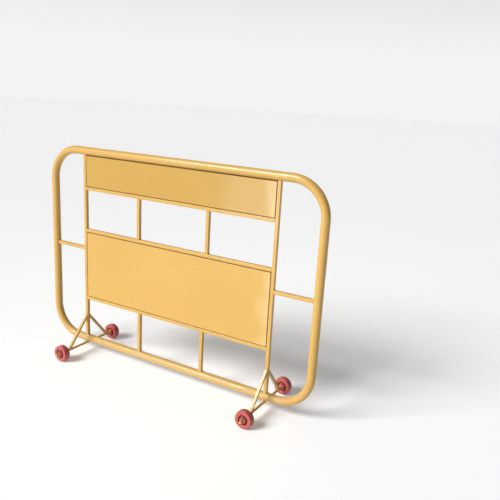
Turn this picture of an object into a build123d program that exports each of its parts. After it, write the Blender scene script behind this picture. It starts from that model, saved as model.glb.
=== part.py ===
"""Crowd control barrier on four small wheels, in millimetres.

A bent round-tube loop stands on edge, braced inside by a grid of square tube. Two panels
fill the grid, and under each end upright a pair of legs and a cross rod carry two wheels.
X runs along the barrier, Y from its front to its back, Z up. The origin is on the floor
under the middle of the barrier.
"""
from build123d import *
import os

# Tube loop
LENGTH = 1500.0             # over the outside of the two side tubes
LOOP_HEIGHT = 1000.0        # over the outside of the top and bottom rails
TUBE_DIAMETER = 38.0
TUBE_WALL = 1.5
BEND_RADIUS = 150.0         # to the middle of the tube
SPLICE_ABOVE_MIDDLE = 110.0  # the two bows meet this far above the loop's middle height
SLEEVE_LENGTH = 100.0
SLEEVE_WALL = 2.0
SLEEVE_CLEARANCE = 0.1      # all round, between a sleeve and the bore of the tube

# Square-tube grid inside the loop
BAR = 16.0                  # outside of the square tube
BAR_WALL = 1.5
BAR_CORNER = 1.5            # outside corner radius of the square tube
UPRIGHT_INSET = 206.0       # from the middle of a side tube to the middle of an end upright
WINDOW_BAR_SPACING = 384.0  # between the middles of the two bars in the window
LOWER_BAR_SPACING = 363.0   # between the middles of the two bars under the lower panel
UPPER_PANEL_HEIGHT = 169.0  # from under the top rail to the bottom of the panel's own rail
WINDOW_HEIGHT = 192.0       # open height between the two panels
LOWER_PANEL_HEIGHT = 368.0  # over the lower panel's own top and bottom rails

# Sheet panels
SHEET = 1.2
PAN_BEND = 2.5              # outside radius of the folded edges of a pan
PANEL_CLEARANCE = 0.5       # all round, between a panel and the bars that frame it

# Feet
ROD_DIAMETER = 12.0
ROD_END_PAST_WHEEL = 22.0   # rod showing outside a wheel's outer face
ROD_CHAMFER = 1.5
LEG = 12.0                  # side of the square leg bar
LEG_CORNER = 1.0            # outside corner radius of the leg bar
LEG_TOP_ABOVE_RAIL = 122.0  # leg's middle line at the upright, above the bottom rail's middle
LEG_FOOT_Y = 132.0          # leg's middle line at the rod, from the middle of the barrier
LEG_FOOT_CUT = 13.0         # the leg's foot is cut upright this far outside its middle line
LEG_LIFT = 2.0              # the leg's foot is cut level this far above the rod's middle

# Wheels
WHEEL_DIAMETER = 80.0
WHEEL_WIDTH = 32.0
WHEEL_Y = 177.0             # middle of a wheel, from the middle of the barrier
TREAD_CHAMFER = 5.0
TREAD_GROOVE = 2.0          # depth of the two grooves that run round the tread
TREAD_GROOVE_WIDTH = 3.0
TREAD_GROOVE_OFFSET = 9.0   # from the middle of the tread to the middle of a groove
RECESS_DEPTH = 8.0          # depth of the ring-shaped recess in each face
RECESS_DIAMETER = 44.0      # across the outside of the recess
RECESS_DRAFT = 1.0          # how far a wall of the recess leans in towards its floor
HUB_DIAMETER = 30.0
BUSH_DIAMETER = 18.0
BUSH_RADIAL_CLEARANCE = 0.05
WASHER_DIAMETER = 26.0
WASHER_THICKNESS = 2.0
WASHER_CLEARANCE = 0.5      # between a washer and the face of the hub
PIN_DIAMETER = 3.0
PIN_LENGTH = 26.0
PIN_EYE = 3.5               # middle radius of the eye at the head of a split pin
PIN_HOLE_CLEARANCE = 0.1    # all round, between a pin and its hole

# Worked out from the above
TUBE_R = TUBE_DIAMETER / 2
ROD_R = ROD_DIAMETER / 2
AXLE_Z = WHEEL_DIAMETER / 2
BOTTOM_Z = AXLE_Z + ROD_R + TUBE_R                 # middle of the bottom rail
TOP_Z = BOTTOM_Z + LOOP_HEIGHT - TUBE_DIAMETER     # middle of the top rail
MIDDLE_Z = (BOTTOM_Z + TOP_Z) / 2
SIDE_X = LENGTH / 2 - TUBE_R                       # middle of a side tube
UPRIGHT_X = SIDE_X - UPRIGHT_INSET
GRID_INNER_X = UPRIGHT_X - BAR / 2                 # inner face of an end upright
UPPER_RAIL_BOTTOM = TOP_Z - TUBE_R - UPPER_PANEL_HEIGHT
LOWER_RAIL_TOP = UPPER_RAIL_BOTTOM - WINDOW_HEIGHT
LOWER_RAIL_BOTTOM = LOWER_RAIL_TOP - LOWER_PANEL_HEIGHT
HUB_FACE_Y = WHEEL_Y + WHEEL_WIDTH / 2             # outer face of a wheel
ROD_HALF = HUB_FACE_Y + ROD_END_PAST_WHEEL
WASHER_FACE_Y = HUB_FACE_Y + WASHER_CLEARANCE + WASHER_THICKNESS
PIN_Y = WASHER_FACE_Y + PIN_DIAMETER / 2 + PIN_HOLE_CLEARANCE

SIDES = {"left": -1, "right": 1}
ENDS = {"front": -1, "rear": 1}


def cylinder_along(direction, radius, length, centre):
    """A solid cylinder whose axis lies along a direction, about a centre point."""
    plane = Plane(origin=centre, z_dir=direction)
    return plane * Cylinder(radius, length)


def ring_along(direction, outer, inner, length, centre):
    """A tube with plain ends along a direction, about a centre point."""
    tube = cylinder_along(direction, outer, length, centre)
    return tube - cylinder_along(direction, inner, length * 2, centre)


def square_tube(start, end):
    """A square tube with rounded corners between two points, its sides square to the axes."""
    a, b = Vector(*start), Vector(*end)
    along = b - a
    plane = Plane(origin=a, x_dir=(0, 1, 0), z_dir=along.normalized())
    outer = RectangleRounded(BAR, BAR, BAR_CORNER)
    inner = Rectangle(BAR - 2 * BAR_WALL, BAR - 2 * BAR_WALL)
    return extrude(plane * (outer - inner), along.length)


def rail_core(z):
    """The space that a straight rail fills, used to cope the bars that meet it."""
    return cylinder_along((1, 0, 0), TUBE_R, LENGTH, (0, 0, z))


def bow(open_z, rail_z):
    """Half of the loop: two straight sides joined to a rail by two bends."""
    path = FilletPolyline(
        (-SIDE_X, 0, open_z),
        (-SIDE_X, 0, rail_z),
        (SIDE_X, 0, rail_z),
        (SIDE_X, 0, open_z),
        radius=BEND_RADIUS,
    )
    section = Plane(origin=path @ 0, z_dir=path % 0)
    outer = sweep(section * Circle(TUBE_R), path=path)
    inner = sweep(section * Circle(TUBE_R - TUBE_WALL), path=path)
    return outer - inner


def splice_sleeves(splice_z):
    """One short tube inside each side tube, where the two bows meet."""
    outer = TUBE_R - TUBE_WALL - SLEEVE_CLEARANCE
    return [
        ring_along((0, 0, 1), outer, outer - SLEEVE_WALL, SLEEVE_LENGTH, (side * SIDE_X, 0, splice_z))
        for side in SIDES.values()
    ]


def upright(x, low_z, high_z):
    """A vertical bar, coped to the bottom or top rail where it reaches one."""
    bar = square_tube((x, 0, low_z), (x, 0, high_z))
    return bar - rail_core(BOTTOM_Z) - rail_core(TOP_Z)


def cross_rail(top_z):
    """A level bar between the two end uprights, its top at the given height."""
    z = top_z - BAR / 2
    return square_tube((-GRID_INNER_X, 0, z), (GRID_INNER_X, 0, z))


def side_rail(side):
    """The short level bar from an end upright to the side tube, coped to the tube."""
    start = (side * (UPRIGHT_X + BAR / 2), 0, MIDDLE_Z)
    end = (side * SIDE_X, 0, MIDDLE_Z)
    tube = cylinder_along((0, 0, 1), TUBE_R, 4 * BAR, (side * SIDE_X, 0, MIDDLE_Z))
    return square_tube(start, end) - tube


def panel(low_z, high_z):
    """A folded front pan and the flat sheet that closes its back, for one opening."""
    width = 2 * (GRID_INNER_X - PANEL_CLEARANCE)
    height = high_z - low_z - 2 * PANEL_CLEARANCE
    depth = BAR - SHEET
    middle_z = (low_z + high_z) / 2
    front = Plane(origin=(0, -BAR / 2, middle_z), x_dir=(1, 0, 0), z_dir=(0, 1, 0))

    block = extrude(front * Rectangle(width, height), depth)
    block = fillet(block.faces().sort_by(Axis.Y)[0].edges(), PAN_BEND)
    hollow_start = front.offset(SHEET)
    hollow = extrude(hollow_start * Rectangle(width - 2 * SHEET, height - 2 * SHEET), depth)
    hollow = fillet(hollow.faces().sort_by(Axis.Y)[0].edges(), PAN_BEND - SHEET)
    pan = block - hollow

    back = extrude(front.offset(depth) * Rectangle(width, height), SHEET)
    return pan, back


def axle_rod(side):
    """The round cross rod of one foot, with its ends drilled for the split pins."""
    centre = (side * UPRIGHT_X, 0, AXLE_Z)
    rod = cylinder_along((0, 1, 0), ROD_R, 2 * ROD_HALF, centre)
    rod = chamfer(rod.edges().filter_by(GeomType.CIRCLE), ROD_CHAMFER)
    for end in ENDS.values():
        hole_centre = (side * UPRIGHT_X, end * PIN_Y, AXLE_Z)
        hole_r = PIN_DIAMETER / 2 + PIN_HOLE_CLEARANCE
        rod -= cylinder_along((0, 0, 1), hole_r, 2 * ROD_DIAMETER, hole_centre)
    return rod


def leg(side, end):
    """A square bar sloping from the face of an end upright down to the cross rod."""
    top = Vector(side * UPRIGHT_X, end * BAR / 2, BOTTOM_Z + LEG_TOP_ABOVE_RAIL)
    foot = Vector(side * UPRIGHT_X, end * LEG_FOOT_Y, AXLE_Z)
    slope = (foot - top).normalized()
    start = top - slope * 2 * LEG
    reach = (foot - top).length + 4 * LEG
    plane = Plane(origin=start, x_dir=(1, 0, 0), z_dir=slope)
    bar = extrude(plane * RectangleRounded(LEG, LEG, LEG_CORNER), reach)

    keep_low = end * BAR / 2
    keep_high = end * (LEG_FOOT_Y + LEG_FOOT_CUT)
    space = Box(
        2 * LEG, abs(keep_high - keep_low), TOP_Z,
        align=(Align.CENTER, Align.CENTER, Align.MIN),
    )
    space = Pos(side * UPRIGHT_X, (keep_low + keep_high) / 2, AXLE_Z + LEG_LIFT) * space
    rod = cylinder_along((0, 1, 0), ROD_R, 2 * ROD_HALF, (side * UPRIGHT_X, 0, AXLE_Z))
    return (bar & space) - rod


def wheel_profile():
    """Half section of the wheel: radius across, width up. The two faces are alike."""
    rim_r = WHEEL_DIAMETER / 2
    half = WHEEL_WIDTH / 2
    groove_half = TREAD_GROOVE_WIDTH / 2
    recess_r = RECESS_DIAMETER / 2
    hub_r = HUB_DIAMETER / 2
    upper = [
        (rim_r, TREAD_GROOVE_OFFSET - groove_half),
        (rim_r - TREAD_GROOVE, TREAD_GROOVE_OFFSET - groove_half / 2),
        (rim_r - TREAD_GROOVE, TREAD_GROOVE_OFFSET + groove_half / 2),
        (rim_r, TREAD_GROOVE_OFFSET + groove_half),
        (rim_r, half - TREAD_CHAMFER),
        (rim_r - TREAD_CHAMFER, half),
        (recess_r, half),
        (recess_r - RECESS_DRAFT, half - RECESS_DEPTH),
        (hub_r + RECESS_DRAFT, half - RECESS_DEPTH),
        (hub_r, half),
        (BUSH_DIAMETER / 2, half),
    ]
    lower = [(radius, -width) for radius, width in reversed(upper)]
    return upper + lower


def wheel(side, end):
    """A solid moulded wheel, its outer face turned away from the barrier."""
    section = make_face(Polyline(*wheel_profile(), close=True))
    centre = (side * UPRIGHT_X, end * WHEEL_Y, AXLE_Z)
    plane = Plane(origin=centre, x_dir=(1, 0, 0), z_dir=(0, 0, end))
    half_section = plane * section
    axis = Axis((side * UPRIGHT_X, 0, AXLE_Z), (0, 1, 0))
    return revolve(half_section, axis)


def hub_bush(side, end):
    """The plain bearing pressed into the wheel, running on the rod."""
    bore = ROD_R + BUSH_RADIAL_CLEARANCE
    centre = (side * UPRIGHT_X, end * WHEEL_Y, AXLE_Z)
    return ring_along((0, 1, 0), BUSH_DIAMETER / 2, bore, WHEEL_WIDTH, centre)


def washers(side, end):
    """The inner stop washer and the outer washer of one wheel."""
    offset = WHEEL_WIDTH / 2 + WASHER_CLEARANCE + WASHER_THICKNESS / 2
    return [
        ring_along(
            (0, 1, 0), WASHER_DIAMETER / 2, ROD_R, WASHER_THICKNESS,
            (side * UPRIGHT_X, end * WHEEL_Y + place * offset, AXLE_Z),
        )
        for place in (-1, 1)
    ]


def split_pin(side, end):
    """A split pin down through the rod, with its eye above."""
    x, y = side * UPRIGHT_X, end * PIN_Y
    shank = cylinder_along((0, 0, 1), PIN_DIAMETER / 2, PIN_LENGTH, (x, y, AXLE_Z))
    eye_z = AXLE_Z + PIN_LENGTH / 2 + PIN_EYE
    eye = Plane(origin=(x, y, eye_z), z_dir=(0, 1, 0)) * Torus(PIN_EYE, PIN_DIAMETER / 2)
    return shank + eye


def build():
    """Every sub-part of the barrier, by the name of its node."""
    splice_z = MIDDLE_Z + SPLICE_ABOVE_MIDDLE
    upper_opening_low = UPPER_RAIL_BOTTOM + BAR
    lower_opening = (LOWER_RAIL_BOTTOM + BAR, LOWER_RAIL_TOP - BAR)
    parts = {
        "frame_upper_bow": bow(splice_z, TOP_Z),
        "frame_lower_bow": bow(splice_z, BOTTOM_Z),
        "frame_splice_sleeves": splice_sleeves(splice_z),
        "upper_panel_rail": cross_rail(upper_opening_low),
        "lower_panel_top_rail": cross_rail(LOWER_RAIL_TOP),
        "lower_panel_bottom_rail": cross_rail(LOWER_RAIL_BOTTOM + BAR),
    }
    upper_pan, upper_back = panel(upper_opening_low, TOP_Z - TUBE_R)
    lower_pan, lower_back = panel(*lower_opening)
    parts["upper_panel_pan"] = upper_pan
    parts["upper_panel_back"] = upper_back
    parts["lower_panel_pan"] = lower_pan
    parts["lower_panel_back"] = lower_back

    for side_name, side in SIDES.items():
        window_x = side * WINDOW_BAR_SPACING / 2
        lower_x = side * LOWER_BAR_SPACING / 2
        parts[f"upright_{side_name}"] = upright(side * UPRIGHT_X, BOTTOM_Z, TOP_Z)
        parts[f"side_rail_{side_name}"] = side_rail(side)
        parts[f"window_bar_{side_name}"] = upright(window_x, LOWER_RAIL_TOP, UPPER_RAIL_BOTTOM)
        parts[f"lower_bar_{side_name}"] = upright(lower_x, BOTTOM_Z, LOWER_RAIL_BOTTOM)
        parts[f"axle_rod_{side_name}"] = axle_rod(side)
        for end_name, end in ENDS.items():
            place = f"{end_name}_{side_name}"
            parts[f"{place}_leg"] = leg(side, end)
            parts[f"{place}_wheel"] = wheel(side, end)
            parts[f"{place}_hub_bush"] = hub_bush(side, end)
            parts[f"{place}_washers"] = washers(side, end)
            parts[f"{place}_split_pin"] = split_pin(side, end)
    return parts


def main():
    """Write one STEP file for each node."""
    os.makedirs("parts", exist_ok=True)
    for name, shape in build().items():
        solids = shape if isinstance(shape, list) else shape.solids()
        export_step(Compound(children=list(solids)), f"parts/{name}.step")


if __name__ == "__main__":
    main()
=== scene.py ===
"""Looks of the crowd control barrier.

A yellow powder-coated tube loop stands on edge, stiffened by a grid of square bar with two
folded sheet panels in it, and rolls on four small red wheels. Lengths are in metres: X runs
along the barrier, Y from its front to its back, Z up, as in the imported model.
"""

import logging
import math
from collections.abc import Callable, Sequence
from dataclasses import dataclass, field
from enum import Enum

import bmesh
import bpy
import numpy as np
from mathutils import Euler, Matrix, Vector


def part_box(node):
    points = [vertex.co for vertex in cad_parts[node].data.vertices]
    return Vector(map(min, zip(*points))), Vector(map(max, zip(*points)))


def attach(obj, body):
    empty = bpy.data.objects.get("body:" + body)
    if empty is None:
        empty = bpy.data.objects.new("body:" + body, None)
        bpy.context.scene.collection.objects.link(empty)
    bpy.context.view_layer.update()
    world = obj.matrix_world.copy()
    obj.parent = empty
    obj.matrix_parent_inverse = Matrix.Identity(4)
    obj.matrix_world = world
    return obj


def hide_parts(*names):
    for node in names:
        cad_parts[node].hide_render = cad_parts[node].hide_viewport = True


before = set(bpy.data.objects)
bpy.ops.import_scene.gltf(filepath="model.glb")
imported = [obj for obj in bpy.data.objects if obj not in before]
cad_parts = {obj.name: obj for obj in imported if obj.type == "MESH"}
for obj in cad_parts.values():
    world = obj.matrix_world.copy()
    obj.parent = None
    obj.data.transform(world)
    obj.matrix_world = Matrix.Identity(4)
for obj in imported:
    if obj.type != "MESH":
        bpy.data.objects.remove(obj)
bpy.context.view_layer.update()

FRAME_BODY = "barrier_frame"
MM = 0.001
KNOCK = "knock"   # point attribute: how much a point is exposed to knocks, 0 to 1
GRIME_AND_SHADE = "grime_and_shade"   # point attribute: how much dirt and painted shade a point gets, 0 to 1; painted shade in seams, grooves and recesses
CREASE = math.radians(38)                   # edges sharper than this stay sharp
SAME_POINT = 2e-7                           # points closer than this are one
ARC_POINTS = 6                              # points in a rounded corner of a bar's outline
FLAT_SHARES = (0.08, 0.3, 0.5, 0.7, 0.92)   # where the points on its flats lie
CURVE_POINTS = 5                            # points in a softened corner of a turned section

log = logging.getLogger("barrier")


class Labelled(Enum):
    """A choice that names of pieces are made from."""

    @property
    def label(self) -> str:
        """The word used in names."""
        return self.name.lower()


class Side(Labelled):
    """The two ends of the barrier's length."""

    LEFT = -1
    RIGHT = 1


class End(Labelled):
    """The two ends of a foot, in front of the loop and behind it."""

    FRONT = -1
    REAR = 1


class Run(Enum):
    """The way that a straight bar runs."""

    ALONG = 0
    UP = 2


class Seat(Enum):
    """What the end of a bar is cut to fit."""

    FLAT = "square to the bar"
    TUBE = "coped to a round tube"


def middle_and_half(node: str) -> tuple[Vector, Vector]:
    """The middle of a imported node's box, and half its size along each axis."""
    low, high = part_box(node)
    return (low + high) / 2, (high - low) / 2


def in_scene(name: str, data: bpy.types.ID) -> bpy.types.Object:
    """Puts data into the scene as a new object at the origin."""
    made = bpy.data.objects.new(name, data)
    bpy.context.scene.collection.objects.link(made)
    return made


def facing(direction: Vector) -> Euler:
    """The turn that makes a light shine along a direction."""
    return direction.to_track_quat("-Z", "Y").to_euler()


# ---------------------------------------------------------------------------------------
# Skins: closed surfaces worked out with numpy
# ---------------------------------------------------------------------------------------


@dataclass
class Skin:
    """One closed surface: points, four-cornered faces, and two values at each point."""

    points: np.ndarray
    quads: np.ndarray
    knock: np.ndarray
    grime_and_shade: np.ndarray

    def outward(self) -> "Skin":
        """Turns every face outwards.

        The enclosed volume is a sixth of the sum, over the two triangles of each face, of the
        first corner's dot product with the cross product of the other two. Where it is
        negative the faces point inwards, and the order of their corners is reversed.

        Returns:
            The same skin, its faces pointing out.
        """
        a, b, c, d = (self.points[self.quads[:, k]] for k in range(4))
        volume = sum(np.einsum("ij,ij->", a, np.cross(p, q)) for p, q in ((b, c), (c, d)))
        if volume < 0:
            self.quads = self.quads[:, ::-1].copy()
        return self

    def mesh(self, name: str) -> bpy.types.Mesh:
        """Puts the skin into a new mesh and closes its poles and seams.

        Args:
            name: the mesh's name.

        Returns:
            The mesh, smooth except at edges sharper than the crease angle.
        """
        mesh = bpy.data.meshes.new(name)
        mesh.vertices.add(len(self.points))
        mesh.vertices.foreach_set("co", self.points.astype(np.float32).ravel())
        mesh.loops.add(self.quads.size)
        mesh.loops.foreach_set("vertex_index", self.quads.astype(np.int32).ravel())
        mesh.polygons.add(len(self.quads))
        mesh.polygons.foreach_set("loop_start", np.arange(0, self.quads.size, 4, dtype=np.int32))
        mesh.update(calc_edges=True)
        for label, values in ((KNOCK, self.knock), (GRIME_AND_SHADE, self.grime_and_shade)):
            layer = mesh.attributes.new(label, "FLOAT", "POINT")
            layer.data.foreach_set("value", values.astype(np.float32))
        work = bmesh.new()
        work.from_mesh(mesh)
        bmesh.ops.remove_doubles(work, verts=work.verts, dist=SAME_POINT)
        work.to_mesh(mesh)
        work.free()
        mesh.polygons.foreach_set("use_smooth", np.ones(len(mesh.polygons), bool))
        mesh.set_sharp_from_angle(angle=CREASE)
        return mesh


def merged(skins: Sequence[Skin]) -> Skin:
    """One skin with the points and faces of several, in order."""
    counts = np.array([len(s.points) for s in skins])
    starts = np.cumsum(counts) - counts
    quads = np.concatenate([s.quads + n for s, n in zip(skins, starts)])
    points, knock, grime_and_shade = (
        np.concatenate([getattr(s, part) for s in skins]) for part in ("points", "knock", "grime_and_shade")
    )
    return Skin(points, quads, knock, grime_and_shade)


def grid_quads(rows: int, columns: int, rows_close: bool, columns_close: bool) -> np.ndarray:
    """Faces of a grid whose points are numbered row by row.

    Args:
        rows: number of rows.
        columns: number of points in a row.
        rows_close: whether the last row joins the first.
        columns_close: whether the last point of a row joins its first.

    Returns:
        The four corners of each face, one face to a row.
    """
    r, c = np.meshgrid(
        np.arange(rows if rows_close else rows - 1),
        np.arange(columns if columns_close else columns - 1),
        indexing="ij",
    )
    next_r, next_c = (r + 1) % rows, (c + 1) % columns
    corners = ((r, c), (next_r, c), (next_r, next_c), (r, next_c))
    return np.stack([i * columns + j for i, j in corners], axis=-1).reshape(-1, 4)


def border(grid: np.ndarray) -> np.ndarray:
    """The outer points of a grid, once round from its first corner."""
    return np.concatenate([grid[0, :-1], grid[:-1, -1], grid[-1, :0:-1], grid[:0:-1, 0]])


def ring_skin(rings: np.ndarray, closes: bool, knock: np.ndarray | float = 0.0,
              grime_and_shade: np.ndarray | float = 0.0) -> Skin:
    """A closed skin from rings of points that follow one another.

    Rings that don't close on themselves are finished with a pole at each end, which lies in
    the middle of the end ring.

    Args:
        rings: points by ring and by place in the ring.
        closes: whether the last ring joins the first.
        knock: exposure to knocks, for all points, for each place or for each point.
        grime_and_shade: gathered dirt and painted shade, in the same way.

    Returns:
        The skin, its faces pointing out.
    """
    knock = np.broadcast_to(knock, rings.shape[:2])
    grime_and_shade = np.broadcast_to(grime_and_shade, rings.shape[:2])
    if not closes:
        poles = rings[[0, -1]].mean(axis=1, keepdims=True).repeat(rings.shape[1], axis=1)
        rings = np.concatenate([poles[:1], rings, poles[1:]])
        knock, grime_and_shade = (np.concatenate([v[:1], v, v[-1:]]) for v in (knock, grime_and_shade))
    quads = grid_quads(rings.shape[0], rings.shape[1], closes, True)
    return Skin(rings.reshape(-1, 3), quads, knock.ravel(), grime_and_shade.ravel()).outward()


def circle(radius: float, count: int) -> np.ndarray:
    """Points of a circle: radius times the cosine and sine of equal steps of angle."""
    angle = np.linspace(0, 2 * math.pi, count, endpoint=False)
    return radius * np.stack([np.cos(angle), np.sin(angle)], axis=-1)


def rounded_square(width: float, height: float, corner: float) -> np.ndarray:
    """Outline of a rectangle with rounded corners.

    Each corner is a quarter circle about its own centre, and each flat is filled in with
    points a given share of the way between the arcs at its two ends.

    Args:
        width: size along the first axis.
        height: size along the second axis.
        corner: radius of the corners.

    Returns:
        The outline's points, in order.
    """
    turn = np.arange(4) * math.pi / 2
    angle = turn[:, None] + np.linspace(0, math.pi / 2, ARC_POINTS)
    eighth = turn + math.pi / 4
    signs = np.sqrt(2) * np.stack([np.cos(eighth), np.sin(eighth)], axis=-1)
    centres = signs * (np.array([width, height]) / 2 - corner)
    arcs = centres[:, None] + corner * np.stack([np.cos(angle), np.sin(angle)], axis=-1)
    share = np.array(FLAT_SHARES)[:, None]
    flats = arcs[:, -1:] * (1 - share) + np.roll(arcs, -1, axis=0)[:, :1] * share
    return np.concatenate([arcs, flats], axis=1).reshape(-1, 2)


def corner_mask() -> np.ndarray:
    """1 at the rounded corners of rounded_square's outline, 0 on its flats."""
    return np.tile(np.r_[np.ones(ARC_POINTS), np.zeros(len(FLAT_SHARES))], 4)


def softened(corners: np.ndarray, cuts: np.ndarray | float) -> np.ndarray:
    """A closed outline with its corners rounded off.

    Each corner P becomes the curve (1-t)^2 A + 2t(1-t) P + t^2 B, where A and B lie the cut
    distance from P, towards the corner before it and the corner after it.

    Args:
        corners: the corners, in order.
        cuts: distance from a corner at which its curve starts, for all or for each.

    Returns:
        The rounded outline's points, in order.
    """
    cuts = np.broadcast_to(cuts, len(corners))[:, None]
    start, stop = (
        corners + way / np.linalg.norm(way, axis=1, keepdims=True) * cuts
        for way in (np.roll(corners, step, axis=0) - corners for step in (1, -1))
    )
    t = np.linspace(0, 1, CURVE_POINTS)[:, None]
    first, middle, last = start[:, None], corners[:, None], stop[:, None]
    curves = (1 - t) ** 2 * first + 2 * t * (1 - t) * middle + t**2 * last
    return curves.reshape(-1, 2)


def spline(knots: np.ndarray, per_span: int) -> np.ndarray:
    """A smooth line along a few points: the uniform cubic B-spline, its ends held in place.

    Args:
        knots: the points that steer the line.
        per_span: points worked out for each of them.

    Returns:
        The line's points.
    """
    held = np.concatenate([knots[:1], knots[:1], knots, knots[-1:], knots[-1:]])
    windows = np.lib.stride_tricks.sliding_window_view(held, 4, axis=0)
    t = np.linspace(0, 1, per_span, endpoint=False)
    weights = np.stack([
        (1 - t) ** 3, 3 * t**3 - 6 * t**2 + 4, -3 * t**3 + 3 * t**2 + 3 * t + 1, t**3,
    ])
    line = np.einsum("wdk,kt->wtd", windows, weights / 6).reshape(-1, 3)
    return np.concatenate([line, knots[-1:]])


def spaced(path: np.ndarray, step: float, closes: bool) -> np.ndarray:
    """The same path with its points at equal distances, by interpolation on its length.

    Args:
        path: the path's points.
        step: distance wanted between points.
        closes: whether the path ends where it starts.

    Returns:
        The new points. A path that closes doesn't repeat its first point.
    """
    whole = np.concatenate([path, path[:1]]) if closes else path
    length = np.r_[0, np.cumsum(np.linalg.norm(np.diff(whole, axis=0), axis=1))]
    count = max(4, round(length[-1] / step))
    at = np.linspace(0, length[-1], count, endpoint=not closes)
    return np.stack([np.interp(at, length, axis) for axis in whole.T], axis=-1)


def swept(path: np.ndarray, across: np.ndarray, section: np.ndarray, closes: bool) -> np.ndarray:
    """Rings of a section carried along a path.

    A ring's point is the path's point, plus the section's first number times the across
    direction, plus its second times the direction square to both the path and across.

    Args:
        path: the path's points.
        across: the across direction at each of them.
        section: the section's points, the same for all rings or one set for each.
        closes: whether the path closes.

    Returns:
        Points by ring and by place in the ring.
    """
    if closes:
        along = np.roll(path, -1, axis=0) - np.roll(path, 1, axis=0)
    else:
        along = np.gradient(path, axis=0)
    over = np.cross(along, across)
    over /= np.linalg.norm(over, axis=1, keepdims=True)
    return path[:, None] + section[..., :1] * across[:, None] + section[..., 1:] * over[:, None]


def turned(section: np.ndarray, centre: Vector, count: int, knock: np.ndarray | float,
           grime_and_shade: np.ndarray | float) -> Skin:
    """A closed section turned about a level axis that runs front to back.

    Args:
        section: distance from the axis, and place along Y from the centre.
        centre: a point on the axis.
        count: steps in a full turn.
        knock: exposure to knocks, for the whole section or for each of its points.
        grime_and_shade: gathered dirt and painted shade, in the same way.

    Returns:
        The skin.
    """
    spin = circle(1.0, count)
    rings = np.empty((count, len(section), 3))
    rings[..., 0] = centre.x + section[:, 0] * spin[:, :1]
    rings[..., 1] = centre.y + section[:, 1]
    rings[..., 2] = centre.z + section[:, 0] * spin[:, 1:]
    return ring_skin(rings, True, knock, grime_and_shade)


# ---------------------------------------------------------------------------------------
# Pieces: skins put into Blender
# ---------------------------------------------------------------------------------------


@dataclass
class Piece:
    """A skin's way into the scene: its name, what it rides on and what it stands for."""

    name: str
    skin: Skin
    material: bpy.types.Material
    slot: str
    body: str = FRAME_BODY
    stands_for: tuple[str, ...] = ()

    def add(self) -> None:
        """Adds the piece at the origin, with its place in its mesh, and sets its body."""
        made = in_scene(self.name, self.skin.mesh(self.name))
        made.data.materials.append(self.material)
        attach(made, self.body)
        if self.stands_for:
            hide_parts(*self.stands_for)
        log.info("%s: %d faces on %s", self.name, len(made.data.polygons), self.body)


def dress_node(node: str, material: bpy.types.Material) -> None:
    """Gives a CAD node that stays in view its finish.

    Args:
        node: the node's name.
        material: its new material, for all its slots.
    """
    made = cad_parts[node]
    if not made.material_slots:
        made.data.materials.append(material)
    for place in made.material_slots:
        place.material = material
    log.info("%s: kept, with finish %s", node, material.name)


# ---------------------------------------------------------------------------------------
# Shader maths
# ---------------------------------------------------------------------------------------


def operator(operation: str, swapped: bool = False) -> Callable[["Signal", "Value"], "Signal"]:
    """Makes a method of Signal that adds a Math node.

    Args:
        operation: what the node does.
        swapped: whether the signal comes second, as in 1 - signal.

    Returns:
        The method.
    """
    def method(self: "Signal", other: "Value") -> "Signal":
        """Adds the Math node for this signal and another value."""
        first, second = (other, self) if swapped else (self, other)
        settings = {"operation": operation}
        return self.recipe.node("ShaderNodeMath", settings, {0: first, 1: second})

    return method


class Signal:
    """A value in a material. Adding, subtracting, multiplying or dividing adds Math nodes."""

    __add__ = __radd__ = operator("ADD")
    __sub__ = operator("SUBTRACT")
    __rsub__ = operator("SUBTRACT", swapped=True)
    __mul__ = __rmul__ = operator("MULTIPLY")
    __truediv__ = operator("DIVIDE")
    top = operator("MAXIMUM")

    def __init__(self, recipe: "Recipe", socket: bpy.types.NodeSocket) -> None:
        """Wraps an output socket of a recipe's node."""
        self.recipe = recipe
        self.socket = socket

    def ramp(self, low: float, high: float) -> "Signal":
        """0 where this is at low, 1 where it is at high, and a smooth step in between."""
        return self.recipe.node(
            "ShaderNodeMapRange", {"interpolation_type": "SMOOTHSTEP"},
            {"Value": self, "From Min": low, "From Max": high},
        )


Value = Signal | float
Colour = tuple[float, float, float, float]


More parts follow.
